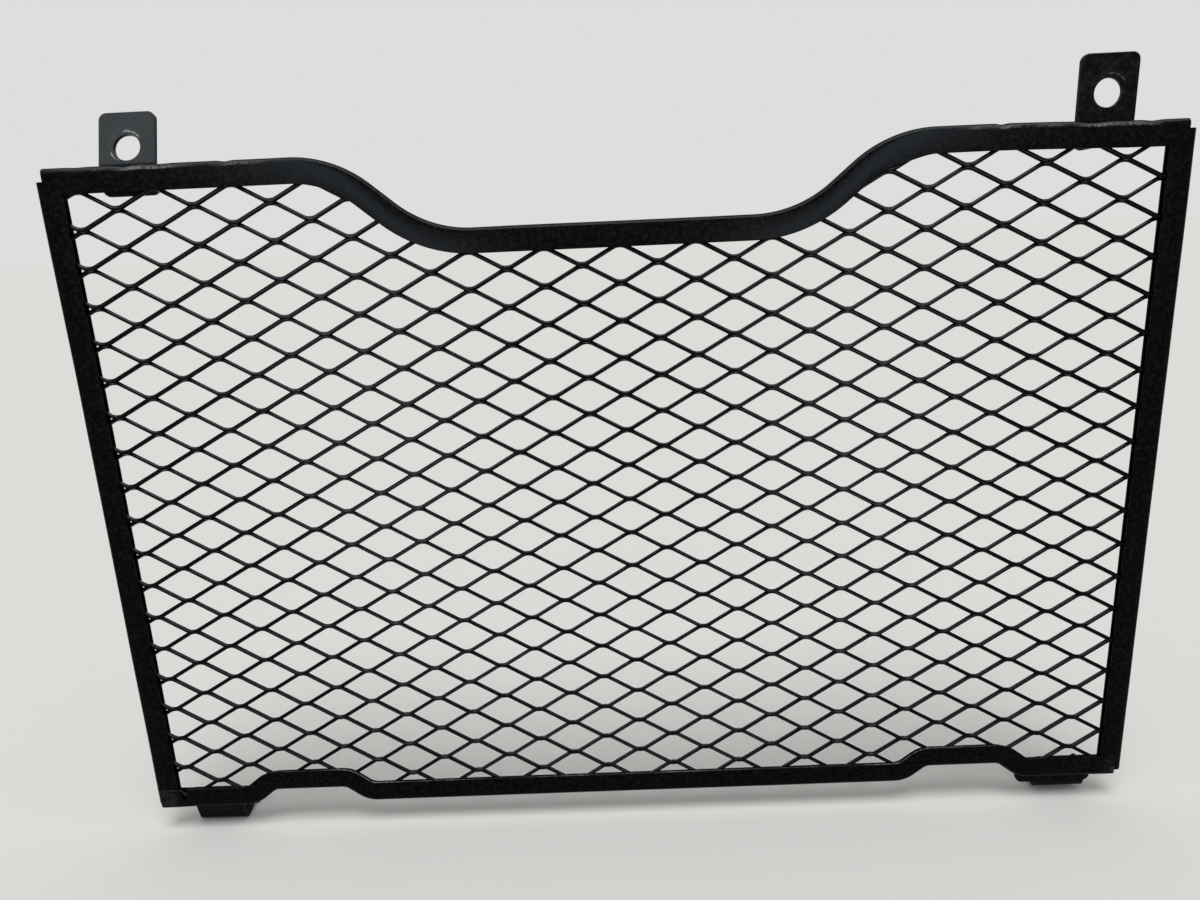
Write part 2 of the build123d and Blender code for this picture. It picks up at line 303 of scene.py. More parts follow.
class Tree:
    """Adds nodes to a node tree and joins them as it goes."""

    # Where a mix node has its factor and its two colours, and the colour that it puts out
    MIX_INPUTS = (0, 6, 7)
    MIX_OUTPUT = 2

    def __init__(self, tree):
        self.tree = tree

    def put(self, socket, value):
        """Links a socket or sets its value."""
        if isinstance(value, bpy.types.NodeSocket):
            self.tree.links.new(value, socket)
        elif value is not None:
            socket.default_value = value

    def node(self, kind, *values, **settings):
        """A node with its inputs in order; returns the node."""
        made = self.tree.nodes.new(kind)
        for key, value in settings.items():
            setattr(made, key, value)
        for socket, value in zip(made.inputs, values):
            self.put(socket, value)
        return made

    def named(self, kind, values, **settings):
        """As node, but with its inputs by name."""
        made = self.node(kind, **settings)
        for name, value in values.items():
            self.put(made.inputs[name], value)
        return made

    def out(self, kind, *values, **settings):
        """As node, but returns the first output that is in use."""
        made = self.node(kind, *values, **settings)
        return next(socket for socket in made.outputs if socket.enabled)

    def math(self, operation, *values):
        """The result of a math node."""
        return self.out("ShaderNodeMath", *values, operation=operation)

    def both(self, operation, *values):
        """The result of a boolean node."""
        return self.out("FunctionNodeBooleanMath", *values, operation=operation)

    def remap(self, value, low, high, new_low=0.0, new_high=1.0, smooth=False):
        """A value carried from one range to another, held at its ends."""
        kind = "SMOOTHSTEP" if smooth else "LINEAR"
        return self.out("ShaderNodeMapRange", value, low, high, new_low, new_high, interpolation_type=kind)

    def noise(self, where, scale, detail=2.0, roughness=0.5):
        """The value of a noise texture."""
        values = {"Vector": where, "Scale": scale, "Detail": detail, "Roughness": roughness}
        return self.named("ShaderNodeTexNoise", values).outputs[0]

    def mix(self, factor, first, second):
        """Two colours mixed."""
        made = self.node("ShaderNodeMix", data_type="RGBA")
        for index, value in zip(self.MIX_INPUTS, (factor, first, second)):
            self.put(made.inputs[index], value)
        return made.outputs[self.MIX_OUTPUT]


def tree_sockets(tree, inputs, outputs):
    """Gives a tree its inputs and outputs, as names by socket type."""
    for side, sockets in (("INPUT", inputs), ("OUTPUT", outputs)):
        for kind, names in sockets.items():
            for name in names:
                tree.interface.new_socket(name, in_out=side, socket_type="NodeSocket" + kind)


# Shader groups


def paint_group():
    """Mottled black paint: its colour, roughness and height."""
    tree = bpy.data.node_groups.new("mottled_paint", "ShaderNodeTree")
    tree_sockets(
        tree,
        {"Color": ("Paint", "Haze", "Fleck"), "Float": ("Haze Amount", "Fleck Amount", "Mean Roughness")},
        {"Color": ("Color",), "Float": ("Roughness", "Height")},
    )
    make = Tree(tree)
    given = make.node("NodeGroupInput").outputs
    where = make.node("ShaderNodeTexCoord").outputs["Object"]
    cloud = make.noise(where, scale=850, detail=6, roughness=0.65)
    grain = make.noise(where, scale=1500, detail=3)
    bloom = make.remap(cloud, low=0.42, high=0.72, smooth=True)
    speck = make.remap(grain, low=0.66, high=0.76)
    tone = make.mix(make.math("MULTIPLY", bloom, given["Haze Amount"]), given["Paint"], given["Haze"])
    tone = make.mix(make.math("MULTIPLY", speck, given["Fleck Amount"]), tone, given["Fleck"])
    uneven = make.remap(cloud, low=0.3, high=0.75, new_low=-0.05, new_high=0.06)
    rough = make.math("ADD", uneven, given["Mean Roughness"])
    cloud_share = 1.5
    height = make.math("ADD", grain, make.math("MULTIPLY", cloud, cloud_share))
    make.node("NodeGroupOutput", tone, rough, height)
    return tree


def rim_group():
    """The mark of a bolt's head round a hole: a thin broken line of bare steel and painted highlight, and a
    scored ring.
    """
    tree = bpy.data.node_groups.new("bolt_mark", "ShaderNodeTree")
    tree_sockets(
        tree,
        {
            "Vector": ("Centre", "Axis"),
            "Float": ("Radius", "Line", "Score Pitch", "Score Core", "Score Reach", "Wear"),
        },
        {"Float": ("Lighter", "Score")},
    )
    make = Tree(tree)
    given = make.node("NodeGroupInput").outputs
    where = make.node("ShaderNodeTexCoord").outputs["Object"]
    arm = make.out("ShaderNodeVectorMath", where, given["Centre"], operation="SUBTRACT")
    along = make.out("ShaderNodeVectorMath", arm, given["Axis"], operation="PROJECT")
    across = make.out("ShaderNodeVectorMath", arm, along, operation="SUBTRACT")
    reach = make.node("ShaderNodeVectorMath", across, operation="LENGTH").outputs["Value"]
    spoke = make.node("ShaderNodeSeparateXYZ", across).outputs
    bearing = make.math("ARCTAN2", spoke["Z"], spoke["X"])
    rag = make.noise(where, scale=1100, detail=4)
    off = make.math("ABSOLUTE", make.math("SUBTRACT", reach, given["Radius"]))
    # A line of bare steel and painted highlight, broken by the noise
    line = make.remap(make.math("DIVIDE", off, given["Line"]), low=0.35, high=1.0, new_low=1.0, new_high=0.0)
    arcs = make.math("MAXIMUM", *(arc(make, bearing, part) for part in GLINT_AND_BARE_ARCS))
    broken = make.math("MULTIPLY", make.remap(rag, low=0.38, high=0.56, new_low=0.15), arcs)
    paler = make.math("MULTIPLY", make.math("MULTIPLY", line, broken), given["Wear"])
    # Fine rings scored by the turning head
    turns = make.math("DIVIDE", reach, given["Score Pitch"])
    wave = make.math("SINE", make.math("MULTIPLY", turns, 2 * math.pi))
    scored = make.math("MULTIPLY", make.remap(wave, low=-0.2, high=1.0), make.remap(rag, low=0.35, high=0.6))
    ring = make.remap(off, given["Score Core"], given["Score Reach"], new_low=1.0, new_high=0.0)
    turned = make.math("MULTIPLY", arc(make, bearing, SCORED_ARC), ring)
    score = make.math("MULTIPLY", make.math("MULTIPLY", scored, turned), given["Wear"])
    make.node("NodeGroupOutput", paler, score)
    return tree


def highlight_and_pale_group():
    """Painted highlights along the rails' edges and a paler tone on the end pads, in uneven stretches."""
    tree = bpy.data.node_groups.new("highlight_and_pale_edge", "ShaderNodeTree")
    tree_sockets(tree, {}, {"Float": ("Lighter",)})
    make = Tree(tree)
    where = make.node("ShaderNodeTexCoord").outputs["Object"]
    lightened = make.node("ShaderNodeAttribute", attribute_name=HIGHLIGHT_AND_PALE_MARK).outputs["Fac"]
    stretch = make.remap(make.noise(where, scale=75), low=0.38, high=0.62, new_low=0.1)
    rag = make.remap(make.noise(where, scale=900, detail=3), low=0.3, high=0.62)
    make.node("NodeGroupOutput", make.math("MULTIPLY", lightened, make.math("MULTIPLY", stretch, rag)))
    return tree


def arc(make, bearing, part):
    """A window on part of a ring, faded towards its ends."""
    off = make.math("ABSOLUTE", make.math("SUBTRACT", bearing, math.radians(part.middle)))
    core = math.radians(part.half * ARC_CORE)
    return make.remap(off, core, math.radians(part.half), new_low=1.0, new_high=0.0, smooth=True)


def group_named(name, builder):
    """A shared shader group, built the first time it is asked for."""
    return bpy.data.node_groups.get(name) or builder()


def opaque(tone):
    """A colour for a shader's socket."""
    return (*tone, 1)


def painted_steel(name, finish, coat, mark=None, lightened=False):
    """Black paint on steel; mark is what a bolt's head has worn round a hole, with a painted highlight on
    its rim, and the switch adds painted highlights along edges and paler pads.
    """
    material = bpy.data.materials.new(name)
    material.use_nodes = True
    make = Tree(material.node_tree)
    shader = material.node_tree.nodes["Principled BSDF"].inputs
    shader["Specular IOR Level"].default_value = coat.shine
    shader["Specular Tint"].default_value = opaque(finish.gloss)
    values = {
        "Paint": opaque(finish.paint),
        "Haze": opaque(finish.haze),
        "Fleck": opaque(finish.fleck),
        "Haze Amount": coat.haze,
        "Fleck Amount": coat.fleck,
        "Mean Roughness": coat.rough,
    }
    group = group_named("mottled_paint", paint_group)
    paint = make.named("ShaderNodeGroup", values, node_tree=group).outputs
    tone = paint["Color"]
    if lightened:
        # Painted highlights along the top rail's ridge and the bottom rail's lip, and paler end pads
        edge = make.node("ShaderNodeGroup", node_tree=group_named("highlight_and_pale_edge", highlight_and_pale_group))
        tone = make.mix(edge.outputs["Lighter"], tone, opaque(finish.highlight_and_pale))
    # A bolt's worn ring round its hole, with a painted highlight of the rim at its upper right and lower
    # left
    if mark:
        values = {
            "Centre": Vector(mark.hole["pos_m"]) + Vector(mark.shift) * MM,
            "Axis": mark.hole["axis"],
            "Radius": finish.bolt_head,
            "Line": finish.bolt_line,
            "Score Pitch": finish.score_pitch,
            "Score Core": finish.score_core,
            "Score Reach": finish.score_reach,
            "Wear": mark.wear,
        }
        group = group_named("bolt_mark", rim_group)
        rim = make.named("ShaderNodeGroup", values, node_tree=group).outputs
        tone = make.mix(rim["Score"], tone, opaque(finish.fleck))
        tone = make.mix(rim["Lighter"], tone, opaque(finish.steel_and_glint))
    make.put(shader["Base Color"], tone)
    make.put(shader["Roughness"], paint["Roughness"])
    values = {"Strength": finish.bump, "Distance": finish.relief, "Height": paint["Height"]}
    make.put(shader["Normal"], make.named("ShaderNodeBump", values).outputs["Normal"])
    return material


# Making and placing pieces


def add_object(name, data):
    """A new object in the scene, at the origin."""
    made = bpy.data.objects.new(name, data)
    bpy.context.scene.collection.objects.link(made)
    return made


def settle(piece):
    """The piece with its modifiers turned into a plain mesh."""
    bpy.context.view_layer.update()
    seen = piece.evaluated_get(bpy.context.evaluated_depsgraph_get())
    plain = bpy.data.meshes.new_from_object(seen)
    if not plain.polygons:
        raise RuntimeError(f"{piece.name} has come out empty")
    piece.modifiers.clear()
    piece.data = plain
    return piece


def shade(mesh, sharp):
    """Smooth shading, apart from edges that turn by more than this angle."""
    mesh.shade_smooth()
    mesh.set_sharp_from_angle(angle=sharp)


def finish_piece(piece, node, material):
    """Gives a finished piece its paint, hides the part that it stands for and attaches it to the root body.
    """
    piece.data.materials.clear()
    piece.data.materials.append(material)
    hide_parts(node)
    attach(piece, ROOT)


def solid_from(name, build):
    """An object from a bmesh that a function fills, with its faces turned outwards."""
    shape = bmesh.new()
    build(shape)
    bmesh.ops.recalc_face_normals(shape, faces=shape.faces)
    if shape.calc_volume(signed=True) < 0:
        bmesh.ops.reverse_faces(shape, faces=shape.faces)
    mesh = bpy.data.meshes.new(name)
    shape.to_mesh(mesh)
    shape.free()
    return add_object(name, mesh)


# Lines that the rails follow


def rounded_line(corners, radii, spacing, side):
    """Points and sideways normals along a line whose corners are rounded by arcs."""
    stations = []
    start = corners[0]
    for before, corner, after, radius in zip(corners, corners[1:], corners[2:], radii):
        into = (corner - before).normalized()
        away = (after - corner).normalized()
        turn = into.angle_signed(away)
        reach = radius * math.tan(abs(turn) / 2)
        stations += straight_run(start, corner - into * reach, spacing, side)
        centre = corner - into * reach + side_normal(into, -math.copysign(1, turn)) * radius
        steps = max(LEAST_BEND_STEPS, math.ceil(radius * abs(turn) / spacing))
        for step in range(steps):
            spun = Matrix.Rotation(-turn * step / steps, 2)
            heading = spun @ into
            spoke = side_normal(heading, math.copysign(1, turn)) * radius
            stations.append((centre + spoke, side_normal(heading, side)))
        start = corner + away * reach
    stations += straight_run(start, corners[-1], spacing, side)
    heading = (corners[-1] - start).normalized()
    return stations + [(corners[-1], side_normal(heading, side))]


def side_normal(heading, side):
    """The unit normal on one side of a heading: 1 is the left, -1 the right."""
    return Vector((-heading.y, heading.x)) * side


def straight_run(start, stop, spacing, side):
    """Stations along a straight stretch, without its last point."""
    run = stop - start
    steps = max(1, math.ceil(run.length / spacing))
    normal = side_normal(run.normalized(), side)
    return [(start + run * step / steps, normal) for step in range(steps)]


def mirrored(corners):
    """The corners on the left, and the same ones mirrored to the right."""
    return corners + [Vector((-corner.x, corner.y)) for corner in reversed(corners)]


def top_line(sizes, depth=0.0):
    """The top rail's fold, or the line that runs this far below it."""
    low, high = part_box("top_rail")
    dip = high.z - low.z - sizes.front
    run = dip / 2 / math.tan(sizes.dip_slope)
    shift = depth * math.tan(sizes.dip_slope / 2)
    level = TOP - depth
    corners = [
        Vector((-RAIL_END, level)),
        Vector((-sizes.dip_middle - run - shift, level)),
        Vector((-sizes.dip_middle + run - shift, level - dip)),
    ]
    radii = [sizes.shoulder - depth, sizes.floor + depth, sizes.floor + depth, sizes.shoulder - depth]
    stations = rounded_line(mirrored(corners), radii, sizes.station, -1)
    sag_run = RAIL_END - sizes.sag_start
    return [
        (point - Vector((0, sizes.sag * smooth_step((point.x - sizes.sag_start) / sag_run))), normal)
        for point, normal in stations
    ]


def bottom_line(sizes, depth=0.0):
    """The bottom rail's fold, or the line that runs this far above it."""
    low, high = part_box("bottom_rail")
    rise = high.z - low.z - sizes.front
    run = rise / 2 / math.tan(sizes.hump_slope)
    shift = depth * math.tan(sizes.hump_slope / 2)
    level = BOTTOM + depth
    foot = sizes.hump_middle + run + shift
    crest = sizes.hump_middle - run + shift
    corners = [
        Vector((-RAIL_END, level)),
        Vector((-sizes.hump_offset - foot, level)),
        Vector((-sizes.hump_offset - crest, level + rise)),
        Vector((-sizes.hump_offset + crest, level + rise)),
        Vector((-sizes.hump_offset + foot, level)),
    ]
    at_foot = sizes.hump_radius + sizes.front - depth
    at_crest = sizes.hump_radius + depth
    radii = [at_foot, at_crest, at_crest, at_foot]
    corners = mirrored(corners)
    corners[0].x -= sizes.left_reach
    return rounded_line(corners, radii * 2, sizes.station, 1)


def side_line(sizes, node):
    """A side rail's fold, from its lower end up; as it is straight, its stations lie further apart."""
    low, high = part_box(node)
    side = 1 if high.x > CENTRE else -1
    ends = [Vector((side * HALF_WIDTH, low.z)), Vector((side * HALF_WIDTH, high.z))]
    stations = straight_run(ends[0], ends[1], 2 * sizes.station, side)
    stations.append((ends[1], stations[-1][1]))
    push = sizes.push if side < 0 else 0.0
    return [
        (point + normal * push * smooth_step((high.z - point.y) / sizes.push_run), normal)
        for point, normal in stations
    ]


# Folded rails


def channel(front, back, front_y, back_y, sizes, crown):
    """The outline of a folded strip, as pairs of depth from the fold and y."""
    sheet, fold, lip = sizes.sheet, sizes.fold, sizes.lip
    bend = [math.pi / 2 * step / BEND_STEPS for step in range(BEND_STEPS + 1)]
    inner = max(fold - sheet, lip)
    front_in = front_y + sheet
    back_in = back_y - sheet
    # The front flange, from its lip along its crown
    ring = [(front, front_y + lip)]
    for step in range(FLANGE_STEPS):
        share = step / FLANGE_STEPS
        ring.append((front - lip + (fold - front + lip) * share, front_y - 4 * crown * share * (1 - share)))
    # Round the fold and along the back flange
    ring += [(fold - fold * math.sin(a), front_y + fold - fold * math.cos(a)) for a in bend]
    ring += [(fold - fold * math.cos(a), back_y - fold + fold * math.sin(a)) for a in bend]
    back_run = back - lip - fold
    ring += [(fold + back_run * step / BACK_STEPS, back_y) for step in range(1, BACK_STEPS + 1)]
    # The back lip, the inside of the channel and the front lip's inside
    ring += [(back, back_y - lip), (back, back_in + lip), (back - lip, back_in)]
    ring += [(sheet + inner, back_in), (sheet, back_in - inner)]
    ring += [(sheet, front_in + inner), (sheet + inner, front_in)]
    return ring + [(front - lip, front_in), (front, front_in - lip)]


def sweep(shape, stations, section, lightened):
    """Skins a section that is carried along stations, closes its ends and marks its painted highlights and
    paler pads.
    """
    paler = shape.verts.layers.float.new(HIGHLIGHT_AND_PALE_MARK)
    rings = []
    for point, normal in stations:
        shares = [(wear.points, added_at(point.x, wear.stretches)) for wear in lightened]
        ring = []
        for index, (depth, y) in enumerate(section(point)):
            spot = point + normal * depth
            corner = shape.verts.new((CENTRE + spot.x, y, spot.y))
            corner[paler] = sum(share * points.get(index, 0.0) for points, share in shares)
            ring.append(corner)
        rings.append(ring)
    for first, second in zip(rings, rings[1:]):
        for index, corner in enumerate(first):
            following = (index + 1) % len(first)
            shape.faces.new((corner, first[following], second[following], second[index]))
    shape.faces.new(rings[0])
    shape.faces.new(rings[-1])


def unevenness(point, node, sizes):
    """A slow wave along a rail, from 0 to the wave's size."""
    value = noise.noise(Vector((point.x * WAVES, point.y * WAVES, WAVE_SEEDS[node])))
    return sizes.wave * (0.5 + 0.5 * value)


def added_at(x, stretches):
    """What the stretches add up to at this place."""
    total = 0.0
    for part in stretches:
        total += part.most * smooth_step(1 - abs(x / MM - part.middle) / part.half_width)
    return total


def smooth_step(value):
    """0 below 0, 1 above 1 and smooth between."""
    held = min(max(value, 0), 1)
    return held * held * (3 - 2 * held)


def moved_in(ring, distance, sizes):
    """A section moved in this far at its fold, and less towards its lips."""
    return [(depth + distance * max(0, 1 - depth / sizes.front), y) for depth, y in ring]


def crossed_section(sizes, node, swell, corner=0.0, dents=(), lumps=()):
    """The section of a rail whose ends open over the side rails."""

    def section(point):
        open_share = smooth_step((abs(point.x) - sizes.step_start) / sizes.step)
        proud = swell * open_share
        past_corner = min(max(abs(point.x) - RAIL_END + corner, 0), corner)
        cut = corner - math.sqrt(corner**2 - past_corner**2)
        front = sizes.front - cut + added_at(point.x, lumps) * MM
        crown = sizes.crown * (1 - open_share)
        ring = channel(front, sizes.back - cut, FRONT - proud, BACK + proud, sizes, crown)
        return moved_in(ring, unevenness(point, node, sizes) + added_at(point.x, dents) * MM, sizes)

    return section


def side_section(sizes, node):
    """The section of a side rail."""

    def section(point):
        ring = channel(sizes.front, sizes.side_back, FRONT, BACK, sizes, sizes.crown)
        return moved_in(ring, unevenness(point, node, sizes), sizes)

    return section


# Expanded mesh


def mesh_tree():
    """Rows of strands that zigzag between bonds, each row joined to the next."""
    tree = bpy.data.node_groups.new("expanded_mesh", "GeometryNodeTree")
    sizes = ("Long Pitch", "Short Pitch", "Bond", "Rounding", "Strand", "Sheet", "Edge", "Lean", "Turn")
    tree_sockets(
        tree,
        {"Float": sizes, "Int": ("Rows", "Columns"), "Vector": ("Middle",), "Material": ("Paint",)},
        {"Geometry": ("Mesh",)},
    )
    make = Tree(tree)
    given = make.node("NodeGroupInput").outputs
    half_pitch = make.math("MULTIPLY", given["Long Pitch"], 0.5)
    rise = make.math("MULTIPLY", given["Short Pitch"], 0.5)
    unit = strand_unit(make, given, half_pitch, rise)
    points, turn = bond_points(make, given, rise)
    values = {"Points": points, "Instance": unit, "Rotation": turn}
    rows = make.named("GeometryNodeInstanceOnPoints", values).outputs[0]
    whole = make.out("GeometryNodeRealizeInstances", rows)
    values = {"Geometry": whole, "Distance": STRAND_WELD}
    merged = make.named("GeometryNodeMergeByDistance", values).outputs[0]
    values = {"Geometry": merged, "Material": given["Paint"]}
    painted = make.named("GeometryNodeSetMaterial", values).outputs[0]
    make.node("NodeGroupOutput", painted)
    return tree


def strand_unit(make, given, half_pitch, rise):
    """One wave of a row: a strand that climbs from a low bond to the high bonds on both sides."""
    grid = make.node("GeometryNodeMeshGrid", 1.0, 1.0, STRAND_STATIONS + 1, STRAND_SIDES + 1)
    flat = make.node("ShaderNodeSeparateXYZ", make.out("GeometryNodeInputPosition"))
    keep = make.node("GeometryNodeCaptureAttribute", grid.outputs["Mesh"])
    keep.capture_items.new("FLOAT", "Along")
    keep.capture_items.new("FLOAT", "Around")
    make.put(keep.inputs["Along"], make.math("ADD", flat.outputs[0], 0.5))
    make.put(keep.inputs["Around"], make.math("ADD", flat.outputs[1], 0.5))
    along = keep.outputs["Along"]
    around = keep.outputs["Around"]
    # Along the strand: a bond at each end, and a climb between them
    half_bond = make.math("MULTIPLY", given["Bond"], 0.5)
    step = 1 / STRAND_STATIONS
    first = make.remap(along, 0.0, step)
    last = make.remap(along, 1 - step, 1.0)
    climb, lift = straight_climb(make, make.remap(along, step, 1 - step), given["Rounding"])
    climb_run = make.math("SUBTRACT", half_pitch, given["Bond"])
    bond_run = make.math("MULTIPLY", make.math("ADD", first, last), half_bond)
    x = make.math("MULTIPLY_ADD", climb, climb_run, bond_run)
    # Round the strand: a rectangle with its corners cut, worked out from a ring of directions
    side = 1 / STRAND_SIDES
    turn = make.math("MULTIPLY", make.math("ADD", around, side / 2), 2 * math.pi)
    slope = math.sin(math.pi / STRAND_SIDES)
    across = corner_cut(make, given["Strand"], given["Edge"], make.math("COSINE", turn), slope)
    through = corner_cut(make, given["Sheet"], given["Edge"], make.math("SINE", turn), slope)
    # At its low bond a strand is the front half, and at its high bond the back half
    shift = make.math("MULTIPLY", make.math("SUBTRACT", lift, 0.5), given["Strand"])
    across = make.math("ADD", across, shift)
    sine = make.math("SINE", given["Lean"])
    cosine = make.math("COSINE", given["Lean"])
    y = make.math("MULTIPLY_ADD", across, cosine, make.math("MULTIPLY", through, sine))
    z = make.math("MULTIPLY_ADD", lift, rise, make.math("MULTIPLY", through, cosine))
    z = make.math("SUBTRACT", z, make.math("MULTIPLY", across, sine))
    spot = make.out("ShaderNodeCombineXYZ", x, y, z)
    bar = make.out("GeometryNodeSetPosition", keep.outputs[0], None, spot)
    # The faces that two strands share at a bond are left out
    low_end = make.math("LESS_THAN", along, step)
    back_side = make.math("GREATER_THAN", around, 1 - side)
    low = make.both("AND", low_end, back_side)
    high_end = make.math("GREATER_THAN", along, 1 - step)
    front_side = make.math("COMPARE", around, 0.5 - side / 2, side / 4)
    high = make.both("AND", high_end, front_side)
    cut = make.node("GeometryNodeDeleteGeometry", bar, make.both("OR", low, high), domain="FACE")
    values = {"Geometry": cut.outputs[0], "Scale": (-1, 1, 1)}
    mirror = make.named("GeometryNodeTransform", values)
    other = make.out("GeometryNodeFlipFaces", mirror.outputs[0])
    join = make.node("GeometryNodeJoinGeometry")
    make.put(join.inputs[0], cut.outputs[0])
    make.put(join.inputs[0], other)
    return join.outputs[0]


def straight_climb(make, share, bend):
    """Run and rise of a straight strand with a short bend at each end, as shares of the whole."""
    third = 1 / 3
    first = make.remap(share, 0.0, third)
    middle = make.remap(share, third, 2 * third)
    last = make.remap(share, 2 * third, 1.0)
    straight = make.math("MULTIPLY", middle, make.math("MULTIPLY_ADD", bend, -2.0, 1.0))
    run = make.math("MULTIPLY_ADD", make.math("ADD", first, last), bend, straight)
    half_bend = make.math("MULTIPLY", bend, 0.5)
    rising = make.math("MULTIPLY", first, first)
    flattening = make.math("MULTIPLY", last, make.math("SUBTRACT", 2.0, last))
    rise = make.math("MULTIPLY_ADD", make.math("ADD", rising, flattening), half_bend, straight)
    return run, make.math("DIVIDE", rise, make.math("SUBTRACT", 1.0, bend))


def corner_cut(make, size, edge, wave, slope):
    """A strand's offset to one side, held flat at half its size."""
    half = make.math("MULTIPLY", size, 0.5)
    swing = make.math("DIVIDE", make.math("SUBTRACT", half, edge), slope)
    held = make.math("MINIMUM", make.math("MULTIPLY", wave, swing), half)
    return make.math("MAXIMUM", held, make.math("MULTIPLY", half, -1.0))


def bond_points(make, given, rise):
    """A point at each low bond, row by row, and the turn of the rows."""
    count = make.math("MULTIPLY", given["Rows"], given["Columns"])
    index = make.out("GeometryNodeInputIndex")
    row = make.math("FLOOR", make.math("DIVIDE", make.math("ADD", index, 0.5), given["Columns"]))
    column = make.math("SUBTRACT", index, make.math("MULTIPLY", row, given["Columns"]))
    middle_row = make.math("FLOOR", make.math("MULTIPLY", given["Rows"], 0.5))
    middle_column = make.math("FLOOR", make.math("MULTIPLY", given["Columns"], 0.5))
    level = make.math("SUBTRACT", row, middle_row)
    odd = make.math("FLOORED_MODULO", level, 2.0)
    place = make.math("SUBTRACT", column, middle_column)
    along = make.math("MULTIPLY_ADD", make.math("SUBTRACT", 1.0, odd), 0.5, place)
    spot = make.out(
        "ShaderNodeCombineXYZ",
        make.math("MULTIPLY", along, given["Long Pitch"]),
        0.0,
        make.math("MULTIPLY", level, rise),
    )
    turn = make.out("ShaderNodeCombineXYZ", 0.0, make.math("MULTIPLY", given["Turn"], -1.0), 0.0)
    values = {"Vector": spot, "Rotation": turn}
    turned = make.named("ShaderNodeVectorRotate", values, rotation_type="EULER_XYZ")
    placed = make.out("ShaderNodeVectorMath", turned.outputs[0], given["Middle"], operation="ADD")
    points = make.node("GeometryNodePoints", count, placed)
    return points.outputs[0], turn


def set_inputs(modifier, values):
    """Sets a geometry tree's inputs by name."""
    for item in modifier.node_group.interface.items_tree:
        if item.in_out == "INPUT":
            modifier[item.identifier] = values[item.name]


def panel_outline(shape, rails, inset):
    """A block with the outline that the mesh was cut to."""
    upper = [point for point, normal in top_line(rails, inset)]
    lower = [point for point, normal in bottom_line(rails, inset)]
    outline = upper + list(reversed(lower))
    ends = []
    for y in (2 * FRONT - BACK, 2 * BACK - FRONT):
        ends.append([shape.verts.new((CENTRE + point.x, y, point.y)) for point in outline])
    for index in range(len(outline)):
        after = (index + 1) % len(outline)
        shape.faces.new((ends[0][index], ends[0][after], ends[1][after], ends[1][index]))
    shape.faces.new(ends[0])
    shape.faces.new(ends[1])
    bmesh.ops.triangulate(shape, faces=shape.faces)


def close_ends(mesh):
    """Closes the open ends of the strands and turns every face outwards."""
    shape = bmesh.new()
    shape.from_mesh(mesh)
    open_edges = [edge for edge in shape.edges if edge.is_boundary]
    bmesh.ops.holes_fill(shape, edges=open_edges, sides=0)
    bmesh.ops.recalc_face_normals(shape, faces=shape.faces)
    shape.to_mesh(mesh)
    shape.free()


class GUARD_OT_mesh(bpy.types.Operator):
    """Make the panel of expanded mesh inside the rails"""

    bl_idname = "guard.mesh"
    bl_label = "Expanded mesh"

    def execute(self, context):
        sizes = context.scene.guard_mesh
        rails = context.scene.guard_rails
        paint = painted_steel("mesh_paint", context.scene.guard_finish, MESH_COAT)
        panel = add_object("expanded_mesh", bpy.data.meshes.new("expanded_mesh"))
        modifier = panel.modifiers.new("expanded_mesh", "NODES")
        modifier.node_group = mesh_tree()
        middle = Vector((CENTRE + sizes.phase_x, (FRONT + BACK) / 2, BOTTOM + sizes.phase_z))
        values = {
            "Long Pitch": sizes.long_pitch,
            "Short Pitch": sizes.short_pitch,
            "Bond": sizes.bond,
            "Rounding": sizes.rounding,
            "Strand": sizes.strand,
            "Sheet": sizes.sheet,
            "Edge": sizes.edge,
            "Lean": sizes.lean,
            "Turn": sizes.turn,
            "Rows": 2 * math.ceil((TOP - BOTTOM) / sizes.short_pitch) + SPARE_ROWS,
            "Columns": math.ceil(2 * HALF_WIDTH / sizes.long_pitch) + SPARE_COLUMNS,
            "Middle": middle,
            "Paint": paint,
        }
        set_inputs(modifier, values)
        settle(panel)
        close_ends(panel.data)
        outline = solid_from("panel_outline", lambda shape: panel_outline(shape, rails, sizes.inset))
        trim = panel.modifiers.new("trim", "BOOLEAN")
        trim.operation = "INTERSECT"
        trim.solver = "MANIFOLD"
        trim.object = outline
        settle(panel)
        bpy.data.objects.remove(outline)
        shade(panel.data, SHARP_STRAND)
        finish_piece(panel, "mesh_panel", paint)
        return {"FINISHED"}


class GUARD_OT_rails(bpy.types.Operator):
    """Fold the four rails round the mesh"""

    bl_idname = "guard.rails"
    bl_label = "Folded rails"

    def execute(self, context):
        sizes = context.scene.guard_rails
        # The frame's paint carries the painted highlights along the ridge and lip and the paler end pads
        paint = painted_steel("frame_paint", context.scene.guard_finish, FRAME_COAT, lightened=True)
        folds = {
            "top_rail": (
                top_line(sizes),
                crossed_section(sizes, "top_rail", sizes.swell, sizes.corner, TOP_DENTS, FLANGE_LUMPS),
                (RIDGE_HIGHLIGHT,),
            ),
            "bottom_rail": (
                bottom_line(sizes),
                crossed_section(sizes, "bottom_rail", sizes.low_swell, lumps=LIP_LUMPS),
                (LIP_HIGHLIGHT, PALER_PADS),
            ),
        }
        for node in ("left_rail", "right_rail"):
            folds[node] = (side_line(sizes, node), side_section(sizes, node), ())
        for node, (stations, section, lightened) in folds.items():
            rail = solid_from(node + "_fold", lambda shape: sweep(shape, stations, section, lightened))
            shade(rail.data, SHARP_FOLD)
            finish_piece(rail, node, paint)
        return {"FINISHED"}


# Tabs and hooks


